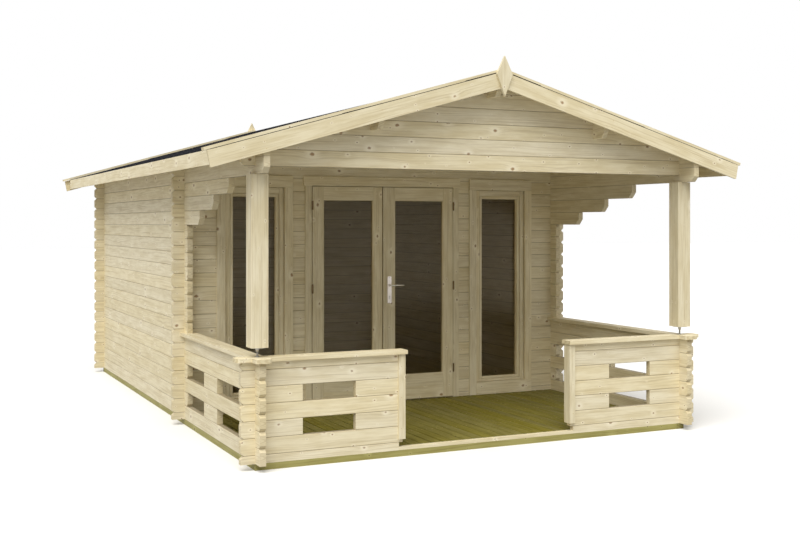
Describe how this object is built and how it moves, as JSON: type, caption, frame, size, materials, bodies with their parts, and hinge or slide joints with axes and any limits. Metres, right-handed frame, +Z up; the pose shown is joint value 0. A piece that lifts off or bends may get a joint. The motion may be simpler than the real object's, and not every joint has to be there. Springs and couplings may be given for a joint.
{
  "type": "log cabin",
  "caption": "Small garden log cabin with a covered porch, open-work log railings, corner posts and a glazed double door.",
  "frame": {"origin": "on the ground, under the middle of the box around the whole cabin", "axes": "+Z up, +Y from the porch towards the rear wall, +X to the right of someone who faces the door"},
  "size_m": [4.416, 5.97, 2.859],
  "materials": {
    "spruce": "bare planed",
    "treated_wood": "pressure treated",
    "steel": "satin",
    "roof_felt": "matte",
    "clear_glass": "clear"
  },
  "bodies": {
    "cabin": {"foundation_side_beams": "treated_wood", "foundation_cross_beams": "treated_wood", "porch_deck": "treated_wood", "entrance_sill": "treated_wood", "room_floor": "spruce", "left_wall": "spruce", "right_wall": "spruce", "left_top_logs": "spruce", "right_top_logs": "spruce", "left_side_railing": "spruce", "right_side_railing": "spruce", "left_front_railing": "spruce", "right_front_railing": "spruce", "entrance_trims": "spruce", "front_caps": "spruce", "side_caps": "spruce", "porch_posts": "spruce", "porch_gable": "spruce", "front_wall_gable": "spruce", "left_front_wall": "spruce", "right_front_wall": "spruce", "rear_wall": "spruce", "ridge_purlin": "spruce", "side_purlins": "spruce", "left_roof_boards": "spruce", "right_roof_boards": "spruce", "eave_boards": "spruce", "left_bargeboards": "spruce", "right_bargeboards": "spruce", "left_verge_laths": "spruce", "right_verge_laths": "spruce", "finials": "spruce", "door_jambs": "spruce", "door_head": "spruce", "door_threshold": "spruce", "window_frames": "spruce", "window_sashes": "spruce", "post_feet": "steel", "frame_hinges": "steel", "left_roof_felt": "roof_felt", "right_roof_felt": "roof_felt", "window_panes": "clear_glass"},
    "left_door": {"left_leaf": "spruce", "left_leaf_glass": "clear_glass", "left_leaf_hinges": "steel"},
    "right_door": {"right_leaf": "spruce", "right_leaf_glass": "clear_glass", "right_leaf_hinges": "steel", "handle_plates": "steel"},
    "lever": {"door_lever": "steel"}
  },
  "joints": [
    {"name": "left_door_hinge", "type": "hinge", "parent": "cabin", "child": "left_door", "pos_m": [-0.687, -0.906, 1], "axis": [0, 0, -1], "range_deg": [0, 105]},
    {"name": "right_door_hinge", "type": "hinge", "parent": "cabin", "child": "right_door", "pos_m": [0.687, -0.906, 1], "axis": [0, 0, 1], "range_deg": [0, 105]},
    {"name": "lever_turn", "type": "hinge", "parent": "right_door", "child": "lever", "pos_m": [0.045, -0.877, 1.102], "axis": [0, 1, 0], "range_deg": [0, 40], "stiffness_Nm_per_rad": 1.5, "springref_deg": -34.38}
  ]
}
